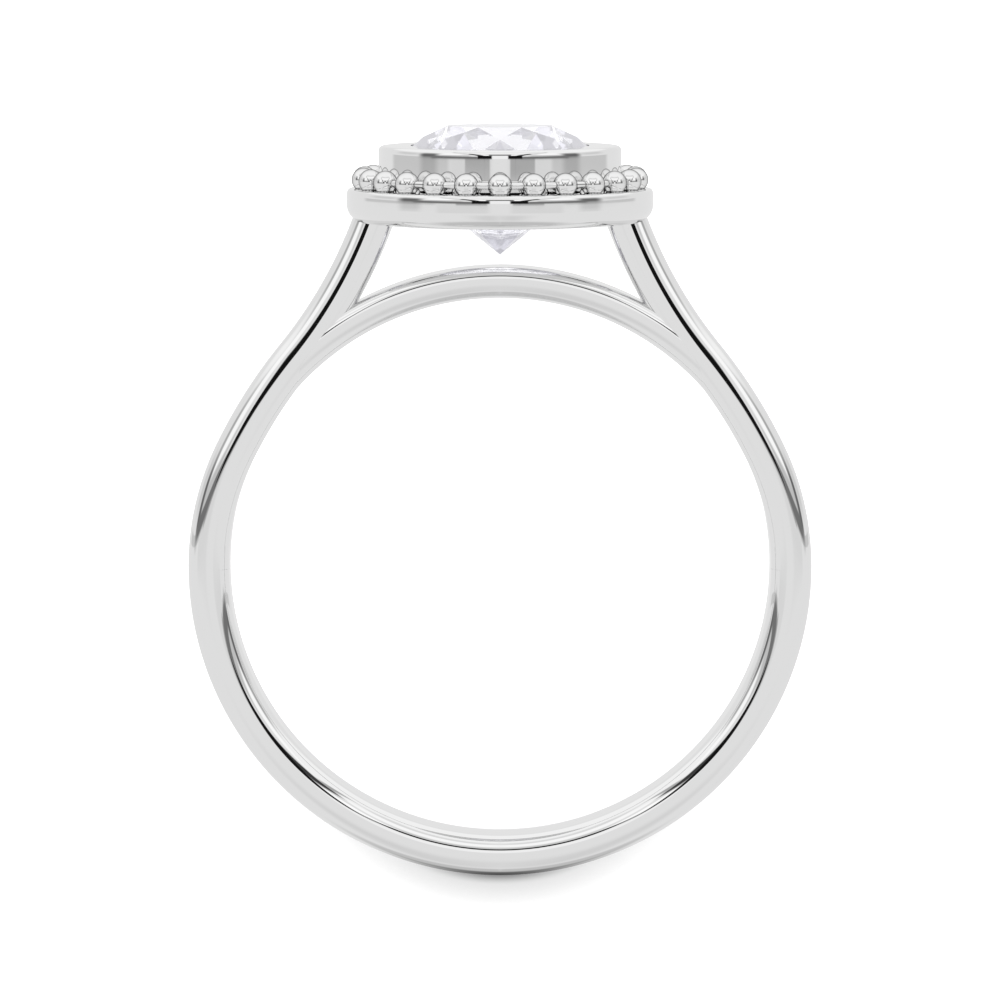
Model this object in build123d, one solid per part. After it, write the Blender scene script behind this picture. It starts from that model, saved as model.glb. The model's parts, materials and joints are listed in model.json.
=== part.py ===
"""A ring for the finger with one round stone in a plain bezel.

The metal is one soldered piece: a round band with two cathedral shoulders that rise to a round
plate, a bezel cup on the plate, and a circle of beads on a wire round the cup. The stone sits in
the cup, and its point hangs through the open plate above the bridge of the band.

The ring is drawn upright, with X across it, Y along the finger and Z up to the stone, and the
centre of the finger hole at zero. It is then laid on its side, as it rests by itself: on the
edge of its plate and the foot of its band. Millimetres and degrees throughout.
"""
import os
from math import asin, atan2, cos, degrees, hypot, pi, radians, sin, tan

from build123d import *

# Band
finger_diameter = 17.3
band_thickness = 1.315
band_width = 2.0
bridge_thickness = 1.0
edge_radius = 0.48           # of the edges beside the finger
outer_edge_radius = 0.57     # of the outside of the band and of the shoulders
bridge_edge_radius = 0.3     # of the bridge's edges under the stone

# Shoulders
shoulder_thickness = 1.29
shoulder_inner_edge_radius = 0.36
waist_relief = 0.9           # how much tighter than the band the shoulder starts its rise
rise_length = 3.7            # of the gentle arc between the waist and the flare
rise_radius = 16.3           # of that arc
shoulder_end_angle = 21.5    # from the vertical, where a shoulder meets the plate
shoulder_inset = 0.14        # from the side of the plate to the outside of a shoulder

# Stone, a round brilliant
stone_diameter = 6.5
table_share = 0.545          # of the stone's diameter, corner to corner
crown_angle = 36.2
pavilion_angle = 40.9
girdle_thickness = 0.2
star_length = 0.5            # share of the way from the table's edge to the girdle
lower_half_length = 0.76     # share of the way from the girdle to the culet
culet_gap = 0.348            # from the stone's point to the bridge

# Bezel
setting_clearance = 0.03
bezel_wall = 0.58
bezel_height = 1.345
lip_rise = 0.455             # from the top of the girdle to the rim
lip_opening_radius = 2.83
bezel_edge_radius = 0.17
azure_radius = 2.3           # of the open hole under the stone

# Plate
plate_margin = 1.01          # from the bezel's wall to the side of the plate
plate_thickness = 1.07
plate_top_radius = 0.2
plate_bottom_radius = 0.55

# Beads
bead_count = 26
bead_diameter = 0.76
bead_sink = 0.075            # how far a bead is sunk in the plate
bead_gap = 0.104             # from the bezel's wall to a bead
wire_diameter = 0.22

# Levels and radii that follow from the sizes above
finger_radius = finger_diameter / 2
band_radius = finger_radius + band_thickness
bridge_radius = finger_radius + bridge_thickness
stone_radius = stone_diameter / 2
table_radius = table_share * stone_radius
crown_height = (stone_radius - table_radius) * tan(radians(crown_angle))
pavilion_depth = stone_radius * tan(radians(pavilion_angle))
culet_level = bridge_radius + culet_gap
girdle_bottom = culet_level + pavilion_depth
girdle_top = girdle_bottom + girdle_thickness
table_level = girdle_top + crown_height
rim_level = girdle_top + lip_rise
plate_top = rim_level - bezel_height
plate_bottom = plate_top - plate_thickness
bezel_radius = stone_radius + setting_clearance + bezel_wall
plate_radius = bezel_radius + plate_margin
bead_radius = bead_diameter / 2
bead_circle = bezel_radius + bead_gap + bead_radius
bead_level = plate_top - bead_sink + bead_radius

HALF_TURN = 180
FULL_TURN = 360
FRONT = -90                  # azimuth of the front of the ring, in degrees

MAIN_COUNT = 8
MAIN_STEP = FULL_TURN / MAIN_COUNT
HALF_STEP = MAIN_STEP / 2
QUARTER_STEP = MAIN_STEP / 4


def slope_between(near, far):
    """Fall per unit of run between two points, each a radius and a height."""
    return (near[1] - far[1]) / (far[0] - near[0])


def on_main(radius, slope):
    """Height above or below the girdle, midway between two main facets."""
    return (stone_radius - radius * cos(radians(HALF_STEP))) * slope


# The corners where facets meet, half a main's step from a main: a radius and a height
main_slope_up = tan(radians(crown_angle))
main_slope_down = tan(radians(pavilion_angle))
table_edge = table_radius * cos(radians(HALF_STEP))
star_corner_radius = table_edge + star_length * (stone_radius - table_edge)
star_corner = (star_corner_radius, on_main(star_corner_radius, main_slope_up))
lower_corner_radius = (1 - lower_half_length) * stone_radius
lower_corner = (lower_corner_radius, on_main(lower_corner_radius, main_slope_down))
girdle_corner = (stone_radius, 0)
star_slope = slope_between((table_edge, crown_height), star_corner)
crown_envelope = slope_between(star_corner, girdle_corner)
pavilion_envelope = slope_between(lower_corner, girdle_corner)
half_facet_radius = stone_radius * cos(radians(QUARTER_STEP))
upper_half_slope = star_corner[1] / (half_facet_radius - star_corner[0] * cos(radians(QUARTER_STEP)))
lower_half_slope = lower_corner[1] / (half_facet_radius - lower_corner[0] * cos(radians(QUARTER_STEP)))


def facet_plane(azimuth, radius, level, slope, upward):
    """A facet's plane. Its normal leans outwards, and up on the crown or down on the pavilion."""
    away = Vector(cos(radians(azimuth)), sin(radians(azimuth)), 0)
    side = 1 if upward else -1
    return Plane(origin=away * radius + Vector(0, 0, level), z_dir=away * slope + Vector(0, 0, side))


def make_stone():
    """Cut the round brilliant facet by facet from a cylinder, as a stone is cut."""
    rough_height = table_level - culet_level
    middle = culet_level + rough_height / 2
    stone = Pos(0, 0, middle) * Cylinder(stone_radius, rough_height)
    planes = []
    for number in range(MAIN_COUNT):
        star = number * MAIN_STEP
        main = star + HALF_STEP
        planes.append(facet_plane(main, stone_radius, girdle_top, main_slope_up, True))
        planes.append(facet_plane(main, stone_radius, girdle_bottom, main_slope_down, False))
        planes.append(facet_plane(star, table_edge, table_level, star_slope, True))
        for half in (main - QUARTER_STEP, main + QUARTER_STEP):
            planes.append(facet_plane(half, half_facet_radius, girdle_top, upper_half_slope, True))
            planes.append(facet_plane(half, half_facet_radius, girdle_bottom, lower_half_slope, False))
    for plane in planes:
        stone = split(stone, bisect_by=plane, keep=Keep.BOTTOM)
    return stone.solid()


def shoulder_line():
    """The outside of the right shoulder: three arcs, each a centre, a radius and two angles.

    The waist and the gentler rise turn one way and the flare turns back, up to the plate. They
    touch where they meet, and the flare ends on the plate. From that follow the flare's radius
    and the angle where the waist ends. The run and the climb are from the centre of the waist.
    """
    waist_radius = band_radius - waist_relief
    between = rise_radius - waist_radius
    end_angle = radians(shoulder_end_angle)
    bow = rise_length / rise_radius
    run, climb = plate_radius - shoulder_inset - waist_relief, plate_bottom
    reach = run * cos(end_angle) + climb * sin(end_angle)
    flare_radius = ((hypot(run, climb) ** 2 - rise_radius ** 2 - between ** 2
                     + 2 * rise_radius * between * cos(bow))
                    / (2 * (rise_radius - between * cos(bow) - reach)))
    run += flare_radius * cos(end_angle)
    climb += flare_radius * sin(end_angle)
    both = rise_radius + flare_radius
    angle = atan2(climb, run) - atan2(both * sin(bow), both * cos(bow) - between)
    rise_centre = (waist_relief - between * cos(angle), -between * sin(angle))
    waist = ((waist_relief, 0), waist_radius, 0, angle)
    rise = (rise_centre, rise_radius, angle, angle + bow)
    flare = ((waist_relief + run, climb), flare_radius, pi + angle + bow, pi + end_angle)
    return waist, rise, flare


def arc_points(centre, radius, first, last):
    """Start, middle and end of an arc in the ring's plane, by angles from the level."""
    return [(centre[0] + radius * cos(turn), 0, centre[1] + radius * sin(turn))
            for turn in (first, (first + last) / 2, last)]


def wire_section(inner_radius, outer_radius, inner_edge, outer_edge):
    """The section of a band or a shoulder, rounded by one radius inside and one outside."""
    thickness = outer_radius - inner_radius
    section = Pos(inner_radius + thickness / 2, 0) * Rectangle(thickness, band_width)
    section = fillet(section.vertices().group_by(Axis.X)[1], outer_edge)
    return fillet(section.vertices().group_by(Axis.X)[0], inner_edge)


def make_shoulder():
    """The right shoulder: its section, rounder outside than inside, swept up to the plate."""
    half = shoulder_thickness / 2
    waist, rise, (flare_centre, flare_radius, flare_start, _) = shoulder_line()
    flare_middle_radius = flare_radius + half
    root_level = plate_bottom + plate_bottom_radius
    root_angle = pi + asin((flare_centre[1] - root_level) / flare_middle_radius)
    arcs = [(centre, radius - half, first, last) for centre, radius, first, last in (waist, rise)]
    arcs.append((flare_centre, flare_middle_radius, flare_start, root_angle))
    path = Wire([ThreePointArc(*arc_points(*arc)) for arc in arcs])
    section = wire_section(band_radius - shoulder_thickness, band_radius,
                           shoulder_inner_edge_radius, outer_edge_radius)
    return sweep(section, path=path)


def band(outer_radius, outer_edge, turn):
    """A band about the finger's axis, from the level round through the base, with rounded edges."""
    return revolve(wire_section(finger_radius, outer_radius, edge_radius, outer_edge), Axis.Y, turn)


def make_head():
    """The plate and the bezel cup, turned as one section about the stone's axis."""
    seat_radius = stone_radius + setting_clearance
    seat_drop = setting_clearance * hypot(1, pavilion_envelope)
    lip_lift = setting_clearance * hypot(1, crown_envelope)
    seat_low = girdle_bottom - (stone_radius - azure_radius) * pavilion_envelope - seat_drop
    seat_high = girdle_bottom + (seat_radius - stone_radius) * pavilion_envelope - seat_drop
    lip_low = girdle_top - (seat_radius - stone_radius) * crown_envelope + lip_lift
    lip_high = girdle_top + (stone_radius - lip_opening_radius) * crown_envelope + lip_lift
    section = make_face(Polyline(
        (azure_radius, plate_bottom),
        (plate_radius, plate_bottom),
        (plate_radius, plate_top),
        (bezel_radius, plate_top),
        (bezel_radius, rim_level),
        (lip_opening_radius, rim_level),
        (lip_opening_radius, lip_high),
        (seat_radius, lip_low),
        (seat_radius, seat_high),
        (azure_radius, seat_low),
        close=True))

    def corner(radius, level):
        return section.vertices().sort_by_distance((radius, level, 0))[0]

    section = fillet(corner(plate_radius, plate_bottom), plate_bottom_radius)
    section = fillet(corner(plate_radius, plate_top), plate_top_radius)
    section = fillet(corner(bezel_radius, rim_level), bezel_edge_radius)
    return revolve(Plane.XZ * section, Axis.Z)


def make_bead_wire():
    """The wire and the beads on it, the first of them at the front of the ring."""
    wire = Pos(0, 0, bead_level) * Torus(bead_circle, wire_diameter / 2)
    places = PolarLocations(bead_circle, bead_count, start_angle=FRONT)
    return wire, [Pos(0, 0, bead_level) * place * Sphere(bead_radius) for place in places]


def make_mount():
    """All the metal, joined into one solid. The bridge goes on round inside the base."""
    shoulder = make_shoulder()
    base = band(band_radius, outer_edge_radius, HALF_TURN)
    bridge = band(bridge_radius, bridge_edge_radius, FULL_TURN)
    metal = base.fuse(shoulder, mirror(shoulder, Plane.YZ), bridge)
    wire, beads = make_bead_wire()
    metal = metal.fuse(make_head(), wire, *beads)
    return metal.solid()


def resting_tilt():
    """The angle between the finger's axis and the upright when the ring lies on its side."""
    band_run = band_width / 2 - outer_edge_radius
    band_rise = band_radius - outer_edge_radius
    plate_run = plate_radius - plate_bottom_radius
    plate_rise = plate_bottom + plate_bottom_radius
    run = plate_run - band_run
    rise = plate_rise + band_rise
    extra = plate_bottom_radius - outer_edge_radius
    return degrees(atan2(run, rise) + asin(extra / hypot(run, rise)))


def lay_down(pieces):
    """Turn the upright ring onto its side and centre it on the origin, with its lowest point at zero."""
    turn = Rot(resting_tilt() - 90, 0, 0)
    turned = {name: turn * piece for name, piece in pieces.items()}
    boxes = [piece.bounding_box() for piece in turned.values()]
    middle = (min(box.min.Y for box in boxes) + max(box.max.Y for box in boxes)) / 2
    shift = Pos(0, -middle, -min(box.min.Z for box in boxes))
    return {name: shift * piece for name, piece in turned.items()}, shift


def main():
    os.makedirs("parts", exist_ok=True)
    pieces, shift = lay_down({"ring_mount": make_mount(), "stone": make_stone()})
    for name, piece in pieces.items():
        export_step(piece, f"parts/{name}.step")
    print("resting tilt", round(resting_tilt(), 3))
    print("finger hole centre", [round(value, 4) for value in shift.position])


main()
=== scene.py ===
# %% [markdown]
# # A ring with one round stone, dressed for the photograph
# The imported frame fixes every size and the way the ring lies. Here its metal is modelled again,
# with enough faces for a mirror polish, then metal and stone get their finish, and the studio
# that they reflect is built round them. Polished metal shows little of its own colour: what the
# eye reads as white gold is the pattern of light and dark cards that it mirrors.

# %% Load the fixed frame
import json
from math import asin, atan2, cos, degrees, hypot, pi, radians, sin, tan

import bmesh
import bpy
from mathutils import Matrix, Vector


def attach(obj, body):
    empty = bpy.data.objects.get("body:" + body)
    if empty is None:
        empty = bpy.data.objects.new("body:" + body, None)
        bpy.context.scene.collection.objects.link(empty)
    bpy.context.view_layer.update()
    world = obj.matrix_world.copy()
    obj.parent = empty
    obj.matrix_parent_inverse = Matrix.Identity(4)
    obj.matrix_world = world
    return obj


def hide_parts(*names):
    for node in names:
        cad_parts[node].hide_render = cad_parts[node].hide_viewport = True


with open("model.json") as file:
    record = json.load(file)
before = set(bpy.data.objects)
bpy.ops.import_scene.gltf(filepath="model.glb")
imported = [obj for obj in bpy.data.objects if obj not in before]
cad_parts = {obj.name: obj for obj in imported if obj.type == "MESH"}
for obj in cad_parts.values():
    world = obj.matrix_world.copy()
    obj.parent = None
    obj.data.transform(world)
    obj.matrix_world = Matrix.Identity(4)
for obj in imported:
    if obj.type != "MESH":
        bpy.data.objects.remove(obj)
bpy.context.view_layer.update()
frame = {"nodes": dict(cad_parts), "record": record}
print("frame pieces:", ", ".join(sorted(frame["nodes"])))

# %% [markdown]
# ## The ring's sizes
# A jeweller draws a ring upright, with the finger hole in the middle, so the pieces are modelled
# that way too: X across, Y along the finger, Z up to the stone, in millimetres, with the centre
# of the hole at zero. These are the same sizes as in the ring's source, with three small changes:
# the rim and the top of the plate are rounded further in, as polishing leaves them, the beads sit a
# hair deeper, and the bridge is narrower by a hair. The sizes that set where the pieces meet come
# first, and the rest stand with their piece. Levels that depend on other sizes are worked out, so
# that one change carries through.

# %% Sizes in millimetres that the pieces share
MM = 0.001
finger_radius = 8.65
band_radius = 9.965
bridge_radius = 9.65

stone_radius = 3.25
pavilion_slope = tan(radians(40.9))
girdle_thickness = 0.2
culet_gap = 0.348
setting_clearance = 0.03

bezel_wall = 0.58
bezel_height = 1.345
lip_rise = 0.455
plate_margin = 1.01
plate_thickness = 1.07
plate_bottom_edge = 0.55

culet_level = bridge_radius + culet_gap
girdle_bottom = culet_level + stone_radius * pavilion_slope
girdle_top = girdle_bottom + girdle_thickness
rim_level = girdle_top + lip_rise
plate_top = rim_level - bezel_height
plate_bottom = plate_top - plate_thickness
bezel_radius = stone_radius + setting_clearance + bezel_wall
plate_radius = bezel_radius + plate_margin
print("plate from", round(plate_bottom, 3), "to", round(plate_top, 3), "rim at", round(rim_level, 3))

# %% [markdown]
# ## Laying the ring down
# The ring lies on its side, on the edge of its plate and the foot of its band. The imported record
# gives the centre and the direction of the finger hole, and one matrix made from them takes a
# finished piece from its upright drawing to its place on the floor. The matrix is applied to the
# mesh, so every object stays at the origin, unturned and unscaled.

# %% A matrix from the drawing to the floor
hole = frame["record"]["mounts"][0]
towards_viewer = Vector(hole["axis"]).normalized()
across = Vector((1, 0, 0))
up_to_stone = across.cross(-towards_viewer).normalized()
turn = Matrix((across, -towards_viewer, up_to_stone)).transposed()
lay_down = Matrix.Translation(hole["pos_m"]) @ turn.to_4x4() @ Matrix.Scale(MM, 4)
print("the ring's front leans", round(degrees(towards_viewer.angle(Vector((0, 0, 1)))), 2), "degrees")

# %% [markdown]
# ## Helpers for modelling
# Each piece is shaped in edit mode, as by hand. What a hand would click is picked here by a test
# of its place, so a helper opens a piece with nothing selected, and another selects what passes.
# At the end doubles are merged and all faces are turned outwards, because a spin or a mirror can
# leave them turned inside out.

# %% Open, pick, finish and hand over a piece
DOUBLES_WITHIN = 0.0005


def start_edit(piece):
    """Open one piece alone in edit mode, with nothing selected in it."""
    bpy.ops.object.select_all(action="DESELECT")
    piece.select_set(True)
    bpy.context.view_layer.objects.active = piece
    bpy.ops.object.mode_set(mode="EDIT")
    bpy.ops.mesh.select_all(action="DESELECT")


def pick(piece, kind, wanted):
    """Select the vertices, edges or faces whose corners all pass a test, and nothing else."""
    bpy.ops.mesh.select_all(action="DESELECT")
    bpy.ops.mesh.select_mode(type=kind)
    mesh = bmesh.from_edit_mesh(piece.data)
    parts = {"VERT": mesh.verts, "EDGE": mesh.edges, "FACE": mesh.faces}[kind]
    for part in parts:
        corners = [part] if kind == "VERT" else part.verts
        part.select_set(all(wanted(corner.co) for corner in corners))
    mesh.select_flush_mode()
    bmesh.update_edit_mesh(piece.data)


def end_edit(piece, name):
    """Merge doubles, turn all faces outwards and leave edit mode."""
    bpy.ops.mesh.select_mode(type="VERT")
    bpy.ops.mesh.select_all(action="SELECT")
    bpy.ops.mesh.remove_doubles(threshold=DOUBLES_WITHIN)
    bpy.ops.mesh.normals_make_consistent(inside=False)
    bpy.ops.object.mode_set(mode="OBJECT")
    piece.name = piece.data.name = name


def apply_modifier(piece, kind, **settings):
    """Add one modifier with its settings and apply it."""
    modifier = piece.modifiers.new(kind.title(), kind)
    for setting, value in settings.items():
        setattr(modifier, setting, value)
    bpy.ops.object.modifier_apply(modifier=modifier.name)


def place(piece):
    """Lay a finished piece down, and hand it to the frame in place of the solid metal."""
    bpy.ops.object.select_all(action="DESELECT")
    piece.select_set(True)
    bpy.context.view_layer.objects.active = piece
    piece.matrix_world = lay_down
    bpy.ops.object.transform_apply(location=True, rotation=True, scale=True)
    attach(piece, "root")
    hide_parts("ring_mount")
    triangles = sum(len(face.vertices) - 2 for face in piece.data.polygons)
    print(piece.name, "has", triangles, "triangles")


print("doubles are merged within", DOUBLES_WITHIN, "mm")

# %% [markdown]
# ## Sections of band, shoulders and bridge
# Polishing leaves no flat on a wire: its front is a faint dome that runs over into round corners,
# rounder outside than inside. A superellipse has that form. So each section starts as one plane,
# and its corners are bevelled all the way to the crest of the dome, with a fuller profile than a
# circle's. Its face is taken away, so that only the outline is left to be swept.

# %% Draw the outline of a section
band_width = 2.0
crest_radius = 9.275
CORNER_STEPS = 20
FULLER_THAN_ROUND = 0.587
SLIVER = 0.001


def draw_section(inner, outer, width=band_width):
    """The outline of a wire's section in the XY plane, to the right of the finger hole."""
    bpy.ops.object.select_all(action="DESELECT")
    bpy.ops.mesh.primitive_plane_add(size=1, location=(0, 0, 0))
    piece = bpy.context.active_object
    start_edit(piece)
    bpy.ops.mesh.select_all(action="SELECT")
    bpy.ops.transform.resize(value=(outer - inner, width, 1))
    bpy.ops.transform.translate(value=((inner + outer) / 2, 0, 0))
    for reach, test in ((outer - crest_radius, lambda co: co.x > crest_radius),
                        (crest_radius - inner, lambda co: co.x < crest_radius)):
        pick(piece, "VERT", test)
        bpy.ops.mesh.bevel(offset=reach - SLIVER, offset_type="OFFSET", segments=CORNER_STEPS,
                           profile=FULLER_THAN_ROUND, affect="VERTICES", clamp_overlap=False)
    bpy.ops.mesh.select_mode(type="FACE")
    bpy.ops.mesh.select_all(action="SELECT")
    bpy.ops.mesh.delete(type="ONLY_FACE")
    bpy.ops.mesh.select_mode(type="VERT")
    bpy.ops.mesh.select_all(action="SELECT")
    return piece


print("each corner of a section has", CORNER_STEPS, "steps and its crest is at", crest_radius)

# %% [markdown]
# ## Band, shoulders and bridge
# At the level of the finger the band divides: its outer half rises to the head as a shoulder and
# its inner half goes on as the bridge. All three have their crest at one radius, so the outlines
# fit where they meet. The bridge is narrower by a hair, so that its front never lies in that of
# the shoulders. The band is spun down to the foot and the bridge up to the top, each a quarter
# turn. A shoulder is spun round the waist, through its gentler rise and the other way through the
# flare. Half the ring is modelled, and a mirror modifier gives the rest.

# %% Work out the shoulder's line
shoulder_thickness = 1.29
waist_relief = 0.9
rise_length = 3.7
rise_radius = 16.3
shoulder_end_angle = radians(21.5)
shoulder_inset = 0.14

waist_radius = band_radius - waist_relief
between = rise_radius - waist_radius
bow = rise_length / rise_radius
run, climb = plate_radius - shoulder_inset - waist_relief, plate_bottom
reach = run * cos(shoulder_end_angle) + climb * sin(shoulder_end_angle)
flare_radius = ((hypot(run, climb) ** 2 - rise_radius ** 2 - between ** 2
                 + 2 * rise_radius * between * cos(bow))
                / (2 * (rise_radius - between * cos(bow) - reach)))
run += flare_radius * cos(shoulder_end_angle)
climb += flare_radius * sin(shoulder_end_angle)
both = rise_radius + flare_radius
waist_angle = atan2(climb, run) - atan2(both * sin(bow), both * cos(bow) - between)
waist_centre = (waist_relief, 0)
rise_centre = (waist_relief - between * cos(waist_angle), -between * sin(waist_angle))
flare_centre = (waist_relief + run, climb)
root_level = plate_bottom + plate_bottom_edge
root_angle = asin((flare_centre[1] - root_level) / (flare_radius + shoulder_thickness / 2))
print("the waist turns", round(degrees(waist_angle), 2), "degrees and the flare's radius is",
      round(flare_radius, 2))

# %% Sweep the three outlines
bridge_sink = 0.024
QUARTER_STEPS = 150
WAIST_STEPS = 44
RISE_STEPS = 20
FLARE_STEPS = 48


def turn_section(steps, angle, centre):
    """Spin the selected outline about a line along the finger, from the right upwards."""
    bpy.ops.mesh.spin(steps=steps, angle=angle, center=(centre[0], 0, centre[1]), axis=(0, 1, 0))


wire = draw_section(finger_radius, band_radius)
turn_section(QUARTER_STEPS, radians(-90), (0, 0))
bpy.ops.object.mode_set(mode="OBJECT")
bridge = draw_section(finger_radius, bridge_radius, band_width - bridge_sink)
turn_section(QUARTER_STEPS, radians(90), (0, 0))
bpy.ops.object.mode_set(mode="OBJECT")
shoulder = draw_section(band_radius - shoulder_thickness, band_radius)
turn_section(WAIST_STEPS, waist_angle, waist_centre)
turn_section(RISE_STEPS, bow, rise_centre)
turn_section(FLARE_STEPS, root_angle - waist_angle - bow, flare_centre)
bpy.ops.mesh.edge_face_add()
bpy.ops.object.mode_set(mode="OBJECT")
print("faces of band, bridge and shoulder:", [len(piece.data.polygons) for piece in (wire, bridge, shoulder)])

# %% Join the three and mirror them
for piece in (wire, bridge, shoulder):
    piece.select_set(True)
bpy.context.view_layer.objects.active = wire
bpy.ops.object.join()
start_edit(wire)
end_edit(wire, "band_shoulders_and_bridge")
apply_modifier(wire, "MIRROR", use_clip=True, merge_threshold=MM)
start_edit(wire)
end_edit(wire, "band_shoulders_and_bridge")
levels = [vertex.co.z for vertex in wire.data.vertices]
print("band from", round(min(levels), 3), "to shoulders at", round(max(levels), 3))

# %% [markdown]
# ## Plate and bezel
# Plate and bezel are turned on a lathe, and a circle with loops extruded from it does the same.
# Each extrusion takes the open loop to its next radius and level: up the side of the plate, in
# to the bezel, up its wall, over the rim and down inside to the seat of the stone. Then the outer
# corners are bevelled. The plate's lower corner is round, and its top and the rim run over slowly,
# as after polishing.

# %% Helpers for the lathe
LATHE_STEPS = 360
CORNER_WITHIN = 0.01


def turn_profile(points, name):
    """A closed ring from a list of corners, each a radius and a level."""
    bpy.ops.object.select_all(action="DESELECT")
    first = points[0]
    bpy.ops.mesh.primitive_circle_add(vertices=LATHE_STEPS, radius=first[0],
                                      location=(0, 0, 0), fill_type="NOTHING")
    piece = bpy.context.active_object
    start_edit(piece)
    bpy.ops.mesh.select_all(action="SELECT")
    bpy.ops.transform.translate(value=(0, 0, first[1]))
    before = first
    for radius, level in points[1:] + [first]:
        bpy.ops.mesh.extrude_edges_move(
            TRANSFORM_OT_translate={"value": (0, 0, level - before[1])})
        if radius != before[0]:
            share = radius / before[0]
            bpy.ops.transform.resize(value=(share, share, 1), center_override=(0, 0, level))
        before = (radius, level)
    end_edit(piece, name)
    return piece


def round_corner(piece, radius, level, edge, steps, profile):
    """Bevel the loop of edges at one radius and level."""
    pick(piece, "EDGE", lambda co: abs(hypot(co.x, co.y) - radius) < CORNER_WITHIN
         and abs(co.z - level) < CORNER_WITHIN)
    bpy.ops.mesh.bevel(offset=edge, offset_type="OFFSET", segments=steps, profile=profile,
                       affect="EDGES", clamp_overlap=False)


print("the lathe makes", LATHE_STEPS, "steps a turn")

# %% [markdown]
# ## The seat for the stone
# A setter cuts the seat to the stone, so its radii and levels come from the stone's facets. What
# touches the metal first is the line of corners where facets meet, so two cones through those
# corners stand for the crown and the pavilion. The seat and the lip keep a small clearance from
# the cones, square to them.

# %% Work out the seat and the lip
table_share = 0.545
crown_slope = tan(radians(36.2))
lower_half_length = 0.76
lip_opening = 2.83
azure_radius = 2.3
MAIN_FACETS = 8
HALF_MAIN_STEP = radians(360 / MAIN_FACETS / 2)

table_radius = table_share * stone_radius
half_main = cos(HALF_MAIN_STEP)
table_edge = table_radius * half_main
star_corner = (table_edge + stone_radius) / 2
crown_envelope = (stone_radius - star_corner * half_main) * crown_slope / (stone_radius - star_corner)
lower_corner = (1 - lower_half_length) * stone_radius
pavilion_envelope = ((stone_radius - lower_corner * half_main) * pavilion_slope
                     / (stone_radius - lower_corner))
seat_radius = stone_radius + setting_clearance
seat_drop = setting_clearance * hypot(1, pavilion_envelope)
lip_lift = setting_clearance * hypot(1, crown_envelope)
seat_low = girdle_bottom - (stone_radius - azure_radius) * pavilion_envelope - seat_drop
seat_high = girdle_bottom + setting_clearance * pavilion_envelope - seat_drop
lip_low = girdle_top - setting_clearance * crown_envelope + lip_lift
lip_high = girdle_top + (stone_radius - lip_opening) * crown_envelope + lip_lift
print("seat from", round(seat_low, 3), "to", round(seat_high, 3), "lip from", round(lip_low, 3), "to",
      round(lip_high, 3))

# %% Turn the plate and the bezel
rim_edge = 0.4
plate_top_edge = 0.4
ROUND = 0.5
POLISHED = 0.79
PLATE_FOOT_STEPS = 22
RIM_STEPS = 20

head = turn_profile([
    (azure_radius, plate_bottom),
    (plate_radius, plate_bottom),
    (plate_radius, plate_top),
    (bezel_radius, plate_top),
    (bezel_radius, rim_level),
    (lip_opening, rim_level),
    (lip_opening, lip_high),
    (seat_radius, lip_low),
    (seat_radius, seat_high),
    (azure_radius, seat_low)], "plate_and_bezel")
start_edit(head)
round_corner(head, plate_radius, plate_bottom, plate_bottom_edge, PLATE_FOOT_STEPS, ROUND)
round_corner(head, plate_radius, plate_top, plate_top_edge, RIM_STEPS, POLISHED)
round_corner(head, bezel_radius, rim_level, rim_edge, RIM_STEPS, POLISHED)
end_edit(head, "plate_and_bezel")
print("plate and bezel have", len(head.data.polygons), "faces")

# %% [markdown]
# ## Beads on their wire
# A string of round beads on a thin wire is soldered to the plate. One bead is modelled and copied
# round the circle, each copy with its own mesh, and a thin torus runs through them all. The beads
# sit a little deep in the plate, which is what solder and pressure do.

# %% Model one bead, repeat it and thread the wire
bead_count = 26
bead_radius = 0.38
bead_sink = 0.1
bead_gap = 0.104
wire_radius = 0.11
bead_circle = bezel_radius + bead_gap + bead_radius
bead_level = plate_top - bead_sink + bead_radius
BEAD_AROUND = 44
BEAD_RINGS = 28
WIRE_STEPS = 260
WIRE_SIDES = 16

bpy.ops.object.select_all(action="DESELECT")
bpy.ops.mesh.primitive_uv_sphere_add(segments=BEAD_AROUND, ring_count=BEAD_RINGS,
                                     radius=bead_radius, location=(0, 0, 0))
bead = bpy.context.active_object
beads = []
for number in range(bead_count):
    angle = 2 * pi * number / bead_count - pi / 2
    copy = bead.copy()
    copy.data = bead.data.copy()
    copy.matrix_world = (Matrix.Translation((bead_circle * cos(angle), bead_circle * sin(angle),
                                             bead_level)) @ Matrix.Rotation(angle, 4, "Z"))
    bpy.context.collection.objects.link(copy)
    beads.append(copy)
bpy.data.objects.remove(bead)
bpy.ops.object.select_all(action="DESELECT")
bpy.ops.mesh.primitive_torus_add(major_radius=bead_circle, minor_radius=wire_radius,
                                 major_segments=WIRE_STEPS, minor_segments=WIRE_SIDES,
                                 location=(0, 0, bead_level))
chain = bpy.context.active_object
for copy in beads:
    copy.select_set(True)
bpy.context.view_layer.objects.active = chain
bpy.ops.object.join()
bpy.ops.object.transform_apply(location=True, rotation=True, scale=True)
chain.name = chain.data.name = "bead_wire"
print(bead_count, "beads on a circle of radius", round(bead_circle, 3), "at level", round(bead_level, 3))

# %% [markdown]
# ## Smooth faces and final places
# A mirror shows every flat facet, so all faces are shaded smooth, and only true corners stay
# sharp. Weighted normals keep the wide flat sides flat up to where the rounding starts.

# %% Shade the metal and lay it down
SHARP_FROM = radians(30)
WIDE_FACE_WEIGHT = 80
metal_pieces = [wire, head, chain]
for piece in metal_pieces:
    bpy.ops.object.select_all(action="DESELECT")
    piece.select_set(True)
    bpy.context.view_layer.objects.active = piece
    bpy.ops.object.shade_smooth_by_angle(angle=SHARP_FROM)
    apply_modifier(piece, "WEIGHTED_NORMAL", keep_sharp=True, weight=WIDE_FACE_WEIGHT)
    place(piece)

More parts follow.
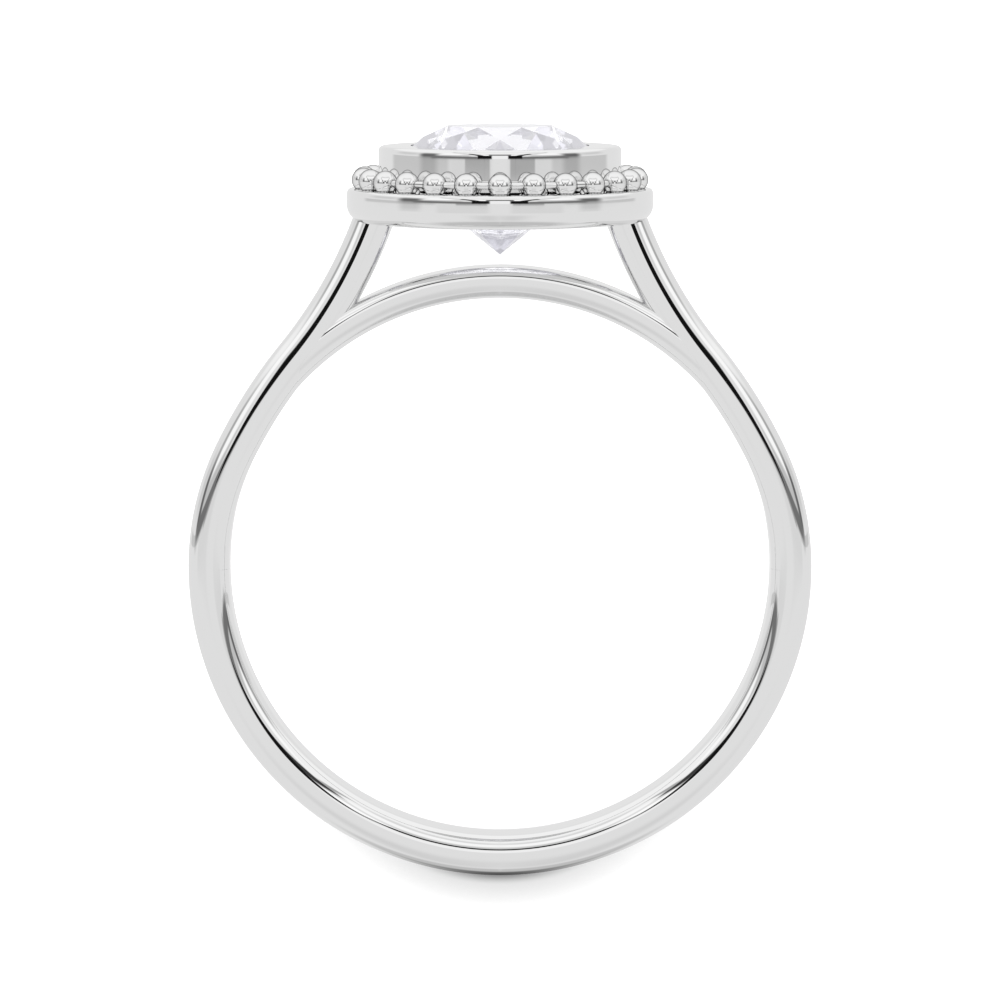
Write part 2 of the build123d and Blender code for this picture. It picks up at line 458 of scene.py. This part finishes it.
# %% [markdown]
# ## Colours and nodes
# Colours are given as sRGB hex, as a colour picker shows them, and one function turns them into the
# linear values that the shader works with. One more function adds a node with its settings and links.

# %% Helpers for materials


def paint(code):
    """Linear RGBA from an sRGB hex colour."""
    parts = [int(code[at:at + 2], 16) / 255 for at in (1, 3, 5)]
    linear = [p / 12.92 if p <= 0.04045 else ((p + 0.055) / 1.055) ** 2.4 for p in parts]
    return (*linear, 1)


def add_node(tree, kind, links=None, **settings):
    """Add a node. Settings are its properties or inputs by name, and links feed its inputs."""
    node = tree.nodes.new(kind)
    for name, value in settings.items():
        if hasattr(node, name):
            setattr(node, name, value)
        else:
            node.inputs[name.replace("_", " ")].default_value = value
    for name, source in (links or {}).items():
        tree.links.new(source, node.inputs[name])
    return node


def new_material(name):
    """A new material, its node tree and its surface shader."""
    material = bpy.data.materials.new(name)
    material.use_nodes = True
    tree = material.node_tree
    return material, tree, tree.nodes["Principled BSDF"]


print("a middle grey of #808080 is", round(paint("#808080")[0], 3), "in linear light")

# %% [markdown]
# ## Polished white gold
# White gold is plated with rhodium, which gives it a cold, bright mirror. It was cast, filed and
# then polished on a felt wheel, which leaves no grain and no lines, only a faint haze that comes
# and goes over about a millimetre. So its roughness is low and varies a little. The beads and their
# wire get a grey edge tint, a painted shade that darkens their reflections towards their outlines.

# %% Make the polished metal
METAL_COLOUR = "#f0f0f0"
PAINTED_BEAD_FLANK_SHADE = "#707070"
HAZE_SIZE = 0.9
USUAL_NOISE = (0.3, 0.7)
ROUGHNESS = (0.015, 0.045)
white_gold, tree, shader = new_material("rhodium_plated_white_gold")
shader.inputs["Metallic"].default_value = 1
shader.inputs["Base Color"].default_value = paint(METAL_COLOUR)
where = add_node(tree, "ShaderNodeTexCoord")
haze = add_node(tree, "ShaderNodeTexNoise", {"Vector": where.outputs["Object"]},
                Scale=1 / (HAZE_SIZE * MM), Detail=2.0, Roughness=0.5)
shine = add_node(tree, "ShaderNodeMapRange", {"Value": haze.outputs["Fac"]},
                 From_Min=USUAL_NOISE[0], From_Max=USUAL_NOISE[1],
                 To_Min=ROUGHNESS[0], To_Max=ROUGHNESS[1])
tree.links.new(shine.outputs["Result"], shader.inputs["Roughness"])
bead_gold = white_gold.copy()
bead_gold.name = "white_gold_of_the_beads_with_painted_shade"
shader = bead_gold.node_tree.nodes["Principled BSDF"]
# Painted shade: the grey edge tint darkens the beads and their wire at grazing angles.
shader.inputs["Specular Tint"].default_value = paint(PAINTED_BEAD_FLANK_SHADE)
for piece in metal_pieces:
    piece.data.materials.clear()
    piece.data.materials.append(bead_gold if piece is chain else white_gold)
    print(piece.name, "is", piece.data.materials[0].name)

# %% [markdown]
# ## The cut stone
# A colourless stone with 57 facets bends light strongly, so most of what enters through the
# crown turns round at the pavilion and comes back. Glass with the refractive index of diamond
# does this by itself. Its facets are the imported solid's own flat faces. A real stone also scatters
# light between its many small facets and splits it into colours. A faint glow with a touch of
# violet stands for that here, and some grey in the glass keeps bright facets below pure white.

# %% Make the stone's finish
DIAMOND_INDEX = 2.417
GLASS_COLOUR = "#d6d6d8"
SCATTERED_LIGHT = 0.1
SCATTERED_COLOUR = "#f8f7ff"
cut_stone, tree, shader = new_material("brilliant_cut_diamond")
shader.inputs["Base Color"].default_value = paint(GLASS_COLOUR)
shader.inputs["Emission Color"].default_value = paint(SCATTERED_COLOUR)
shader.inputs["Emission Strength"].default_value = SCATTERED_LIGHT
shader.inputs["Transmission Weight"].default_value = 1
shader.inputs["Roughness"].default_value = 0
shader.inputs["IOR"].default_value = DIAMOND_INDEX
stone = frame["nodes"]["stone"]
stone.data.materials.clear()
stone.data.materials.append(cut_stone)
print("the stone is", cut_stone.name, "with", len(stone.data.polygons), "triangles")

# %% [markdown]
# ## The studio that the metal mirrors
# Jewellery is photographed inside a white tent with dark and light cards in it. The tent is the
# world's own shader here. Each card has a place round the ring in degrees: how far it is from the
# viewer's side, to the left and the right alike, and how high it is. A card with a lean climbs by
# that many degrees for each degree round. It also has the grey that it shows on the metal, from 0
# to 255. Where no card hangs, the tent's own paper shows.

# %% List the cards of the tent
PAPER = 221
cards = [
    # name, from the viewer's side and its softness, elevation and its softness, lean, grey
    ("white roof", (-1, 200), 8, (29, 100), 9, 0, 240),
    ("bright panel in the roof", (-1, 36), 8, (30, 46), 4, 0, 247),
    ("grey part of the roof", (-1, 56), 14, (47, 60), 5, 0, 216),
    ("grey side", (84, 112), 16, (4, 17), 7, 0, 202),
    ("low side", (49, 121), 8, (-2.95, -0.5), 0.4, 0, 194),
    ("low front", (8, 48), 6, (-8, -1), 6, 0, 212),
    ("floor before the viewer", (-1, 22), 24, (-56, -22), 18, 0, 206),
    ("below the ring", (-1, 200), 8, (-100, -64), 14, 0, 188),
    ("under the black card", (9.5, 33), 2, (-2.95, 0), 0.4, 0, 166),
    ("white lamp", (37, 59), 9, (9, 30), 5, 0, 248),
    ("under the lamp", (28, 63), 5, (2.5, 9), 5, 0, 188),
    ("frame of the roof", (27, 58), 6, (-0.5, 4.5), 3, 0.8, 165),
    ("upper dark card", (63, 81), 10, (-1, 26), 8, 0, 165),
    ("dark card", (62, 80), 9, (-1.5, 14), 8, 0, 100),
    ("dark strip", (20, 68), 5, (-1.9, 3), 1.6, 0, 112),
    ("over the bar", (-1, 14), 3, (16, 25), 5, 0, 198),
    ("white patch", (10.5, 18.5), 1.6, (10, 20), 2, 0, 254),
    ("leaning black card", (15, 31), 3, (-22.5, -11.5), 3, 1.4, 60),
    ("black card", (7.6, 21), 1.4, (-1.7, 8.8), 1.6, 0, 18),
    ("black bar", (-1, 10.4), 1.4, (10, 17), 1.6, 0, 12),
    ("light at the viewer", (-1, 7.2), 0.9, (-1.6, 9.6), 1, 0, 238),
]
print(len(cards), "cards in the tent")

# %% [markdown]
# ## Directions in the tent
# The world's shader knows the direction that a ray leaves in. It is turned by the angle at which
# the ring lies, so that the cards keep their places round the ring. Then two angles are read from
# it: how far round from the viewer's side it points, and how high.

# %% Read both angles of a direction
world = bpy.data.worlds.new("light tent")
bpy.context.scene.world = world
world.use_nodes = True
tree = world.node_tree
sky = tree.nodes["Background"]
sky.inputs["Color"].default_value = (1, 1, 1, 1)
where = add_node(tree, "ShaderNodeTexCoord")
upright = add_node(tree, "ShaderNodeMapping", {"Vector": where.outputs["Generated"]},
                   vector_type="POINT")
tilt_angle = atan2(towards_viewer.z, -towards_viewer.y)
upright.inputs["Rotation"].default_value = (tilt_angle, 0, 0)
split_axes = add_node(tree, "ShaderNodeSeparateXYZ", {"Vector": upright.outputs["Vector"]})
toward = add_node(tree, "ShaderNodeMath", {0: split_axes.outputs["Y"]}, operation="MULTIPLY")
toward.inputs[1].default_value = -1
around = add_node(tree, "ShaderNodeMath", {0: split_axes.outputs["X"], 1: toward.outputs[0]},
                  operation="ARCTAN2")
around = add_node(tree, "ShaderNodeMath", {0: around.outputs[0]}, operation="ABSOLUTE")
around = add_node(tree, "ShaderNodeMath", {0: around.outputs[0]}, operation="DEGREES")
height = add_node(tree, "ShaderNodeMath", {0: split_axes.outputs["Z"]}, operation="ARCSINE")
height = add_node(tree, "ShaderNodeMath", {0: height.outputs[0]}, operation="DEGREES")
print("the tent is turned by", round(degrees(tilt_angle), 2), "degrees")

# %% [markdown]
# ## Hanging the cards
# A card is a mask with soft ends in both angles, and each is laid over the ones before it. The
# metal takes a little light away, so a card is as much brighter than the grey that it shows.

# %% Hang one card after the other


def inside(angle, limits, soft):
    """1 between two angles and 0 outside them, with soft ends."""
    middle, half = (limits[0] + limits[1]) / 2, (limits[1] - limits[0]) / 2
    offset = add_node(tree, "ShaderNodeMath", {0: angle}, operation="SUBTRACT")
    offset.inputs[1].default_value = middle
    offset = add_node(tree, "ShaderNodeMath", {0: offset.outputs[0]}, operation="ABSOLUTE")
    fade = add_node(tree, "ShaderNodeMapRange", {"Value": offset.outputs[0]}, From_Min=half - soft / 2,
                    From_Max=half + soft / 2, To_Min=1, To_Max=0, interpolation_type="SMOOTHSTEP")
    return fade.outputs["Result"]


def shown(level):
    """The brightness of a card that shows on the metal as this grey, from 0 to 255."""
    return paint("#" + f"{level:02x}" * 3)[0] / paint(METAL_COLOUR)[0]


seen = None
for name, sides, side_soft, levels, level_soft, lean, tone in cards:
    level = add_node(tree, "ShaderNodeMath", {0: around.outputs[0], 2: height.outputs[0]},
                     operation="MULTIPLY_ADD")
    level.inputs[1].default_value = -lean
    mask = add_node(tree, "ShaderNodeMath", {0: inside(around.outputs[0], sides, side_soft),
                                             1: inside(level.outputs[0], levels, level_soft)},
                    operation="MULTIPLY")
    blend = add_node(tree, "ShaderNodeMix", {"Factor": mask.outputs[0]}, data_type="FLOAT",
                     A=shown(PAPER), B=shown(tone))
    if seen:
        tree.links.new(seen, blend.inputs["A"])
    seen = blend.outputs["Result"]
print("the tent's shader has", len(tree.nodes), "nodes")

# %% [markdown]
# ## What each kind of ray sees
# Mirror-like rays see the cards, and the floor is lit by an even white sky. What the stone shows
# has passed a layer of faintly violet silk, which takes most of the contrast from the cards. A mix
# node has a set of sockets for each type of value, so the ones for colours are named by number.

# %% Choose the sky, the cards or the silk
SKY = 1.0
SILK = 0.9
SILK_COLOUR = "#f6f5ff"
CARDS_IN_STONE = 0.22
COLOUR_A, COLOUR_B, MIXED_COLOUR = 6, 7, 2
ray = add_node(tree, "ShaderNodeLightPath")
softened = add_node(tree, "ShaderNodeMix", {"B": seen}, data_type="FLOAT", Factor=CARDS_IN_STONE,
                    A=SILK)
mirrored = add_node(tree, "ShaderNodeMix", {"Factor": ray.outputs["Is Glossy Ray"], "B": seen},
                    data_type="FLOAT", A=SKY)
choice = add_node(tree, "ShaderNodeMix", {"Factor": ray.outputs["Is Transmission Ray"],
                                          "A": mirrored.outputs["Result"],
                                          "B": softened.outputs["Result"]}, data_type="FLOAT")
tree.links.new(choice.outputs["Result"], sky.inputs["Strength"])
tint = add_node(tree, "ShaderNodeMix", {"Factor": ray.outputs["Is Transmission Ray"]}, data_type="RGBA")
tint.inputs[COLOUR_A].default_value = (1, 1, 1, 1)
tint.inputs[COLOUR_B].default_value = paint(SILK_COLOUR)
tree.links.new(tint.outputs[MIXED_COLOUR], sky.inputs["Color"])
print("the stone sees", CARDS_IN_STONE, "of the cards' contrast")

# %% [markdown]
# ## The floor
# The ring lies on a light table: white paper that glows evenly from below and is lit from above.
# It is brighter than white everywhere but at the ring's foot, where a soft shadow is painted into it.

# %% Lay the floor
FLOOR_SIZE = 4.0
PAPER_COLOUR = "#fafafa"
GLOW = 0.55
GLOW_COLOUR = "#ffffff"
bpy.ops.object.select_all(action="DESELECT")
bpy.ops.mesh.primitive_plane_add(size=FLOOR_SIZE, location=(0, 0, 0))
floor = bpy.context.active_object
floor.name = "floor"
floor.visible_glossy = False
paper, tree, shader = new_material("glowing_white_paper")
shader.inputs["Base Color"].default_value = paint(PAPER_COLOUR)
shader.inputs["Roughness"].default_value = 1
shader.inputs["Specular IOR Level"].default_value = 0
shader.inputs["Emission Color"].default_value = paint(GLOW_COLOUR)
shader.inputs["Emission Strength"].default_value = GLOW
floor.data.materials.append(paper)
print("the floor is", FLOOR_SIZE, "m wide and glows with", GLOW)

# %% [markdown]
# ## The painted shade at the foot
# So bright a table leaves almost no shadow, and the ring would seem to float. So a shadow is
# painted into the paper at the foot of the band, opposite the stone: a small core and a wide halo,
# both given by their reach along the band and outwards, in millimetres, and by how deep they are.
# The band mirrors more of that shade than the paper shows. For it a second plane, which only
# mirror-like rays see, carries a deeper painted shadow beyond the foot.

# %% Darken the paper at the foot
FOOT_REACH = 9.834
CORE = (3.3, 0.39, 0.4)
HALO = (12, 3.4, 0.42)


def shade_at_foot(tree, along, outwards, depth):
    """A painted shadow on the floor at the ring's foot, deepest at the edge of the band."""
    where = add_node(tree, "ShaderNodeTexCoord")
    offset = add_node(tree, "ShaderNodeVectorMath", {0: where.outputs["Object"]}, operation="SUBTRACT")
    offset.inputs[1].default_value = (0, hole["pos_m"][1], 0)
    split = add_node(tree, "ShaderNodeSeparateXYZ", {"Vector": offset.outputs["Vector"]})
    down = add_node(tree, "ShaderNodeMath", {0: split.outputs["Y"]}, operation="MULTIPLY")
    down.inputs[1].default_value = -1
    turned = add_node(tree, "ShaderNodeMath", {0: split.outputs["X"], 1: down.outputs[0]},
                      operation="ARCTAN2")
    radius = add_node(tree, "ShaderNodeVectorMath", {0: offset.outputs["Vector"]}, operation="LENGTH")
    beyond = add_node(tree, "ShaderNodeMath", {0: radius.outputs["Value"]}, operation="SUBTRACT")
    beyond.inputs[1].default_value = FOOT_REACH * MM
    spot = add_node(tree, "ShaderNodeCombineXYZ", {"X": turned.outputs[0], "Y": beyond.outputs[0]})
    spot = add_node(tree, "ShaderNodeVectorMath", {0: spot.outputs["Vector"]}, operation="MULTIPLY")
    spot.inputs[1].default_value = (FOOT_REACH / along, 1 / (outwards * MM), 0)
    size = add_node(tree, "ShaderNodeVectorMath", {0: spot.outputs["Vector"]}, operation="LENGTH")
    fade = add_node(tree, "ShaderNodeMapRange", {"Value": size.outputs["Value"]},
                    To_Min=depth, To_Max=0, interpolation_type="SMOOTHSTEP")
    return fade.outputs["Result"]


# The core and the halo are a shadow painted into the paper.
core = shade_at_foot(tree, *CORE)
halo = shade_at_foot(tree, *HALO)
depth = add_node(tree, "ShaderNodeMath", {0: core, 1: halo}, operation="ADD")
black = add_node(tree, "ShaderNodeEmission", Strength=0.0)
shaded = add_node(tree, "ShaderNodeMixShader", {0: depth.outputs[0], 1: shader.outputs[0],
                                                2: black.outputs[0]})
tree.links.new(shaded.outputs[0], tree.nodes["Material Output"].inputs["Surface"])
print("the halo reaches", HALO[0], "mm along the band and", HALO[1], "mm outwards")

# %% Lay the plane that the band mirrors
SHADE_SIZE = 0.03
MIRRORED_SHADE = (5, 12, 0.92)
bpy.ops.mesh.primitive_plane_add(size=SHADE_SIZE, location=(0, 0, 0))
shade = bpy.context.active_object
shade.name = "shade_under_the_foot"
edge = hole["pos_m"][1] - FOOT_REACH * MM
shade.data.transform(Matrix.Translation((0, edge - SHADE_SIZE / 2, 0)))
shade.visible_camera = shade.visible_diffuse = False
shade.visible_transmission = shade.visible_shadow = False
dark, tree, shader = new_material("shade_under_the_foot")
clear = add_node(tree, "ShaderNodeBsdfTransparent")
black = add_node(tree, "ShaderNodeEmission", Strength=0.0)
# Black where the painted shadow lies, and clear elsewhere.
shaded = add_node(tree, "ShaderNodeMixShader", {0: shade_at_foot(tree, *MIRRORED_SHADE),
                                                1: clear.outputs[0], 2: black.outputs[0]})
tree.links.new(shaded.outputs[0], tree.nodes["Material Output"].inputs["Surface"])
shade.data.materials.append(dark)
print("the mirrored shade starts", round(-edge / MM, 2), "mm from the middle")

# %% [markdown]
# ## The lamp
# Mirrors would show a lamp as a hard shape, so this one lights the floor and not the reflections.
# It is very wide, so the shadow that it makes has no edge.

# %% Hang the lamp
LAMP_STRENGTH = 0.9
LAMP_WIDTH = radians(70)
LAMP_LEAN = radians(-35)
sun = bpy.data.lights.new("soft_lamp", "SUN")
sun.energy = LAMP_STRENGTH
sun.angle = LAMP_WIDTH
lamp = bpy.data.objects.new("soft_lamp", sun)
lamp.rotation_euler = (LAMP_LEAN, 0, 0)
lamp.visible_glossy = False
lamp.visible_transmission = False
bpy.context.collection.objects.link(lamp)
print("the lamp leans", round(degrees(-LAMP_LEAN)), "degrees")

# %% [markdown]
# ## The camera
# The photograph looks along the finger hole, a little from above the stone's side. The ring lies
# on its side here, so the same view is from nearly straight above. The lens is long, as for small
# objects.

# %% Set the camera
CAMERA_PLACE = (0, -148.7, 19.84)
CAMERA_AIM = (0, 0, 2.142)
LENS = 168.5
SENSOR_WIDTH = 36
eye = lay_down @ Vector(CAMERA_PLACE)
aim = lay_down @ Vector(CAMERA_AIM)
lens = bpy.data.cameras.new("camera")
lens.lens = LENS
lens.sensor_width = SENSOR_WIDTH
lens.sensor_fit = "HORIZONTAL"
lens.clip_start = 0.01
lens.clip_end = 10
camera = bpy.data.objects.new("camera", lens)
camera.location = eye
camera.rotation_euler = (aim - eye).to_track_quat("-Z", "Y").to_euler()
bpy.context.collection.objects.link(camera)
bpy.context.scene.camera = camera
bpy.context.scene.view_settings.view_transform = "Standard"
print("the camera is", round((eye - aim).length / MM, 1), "mm away")
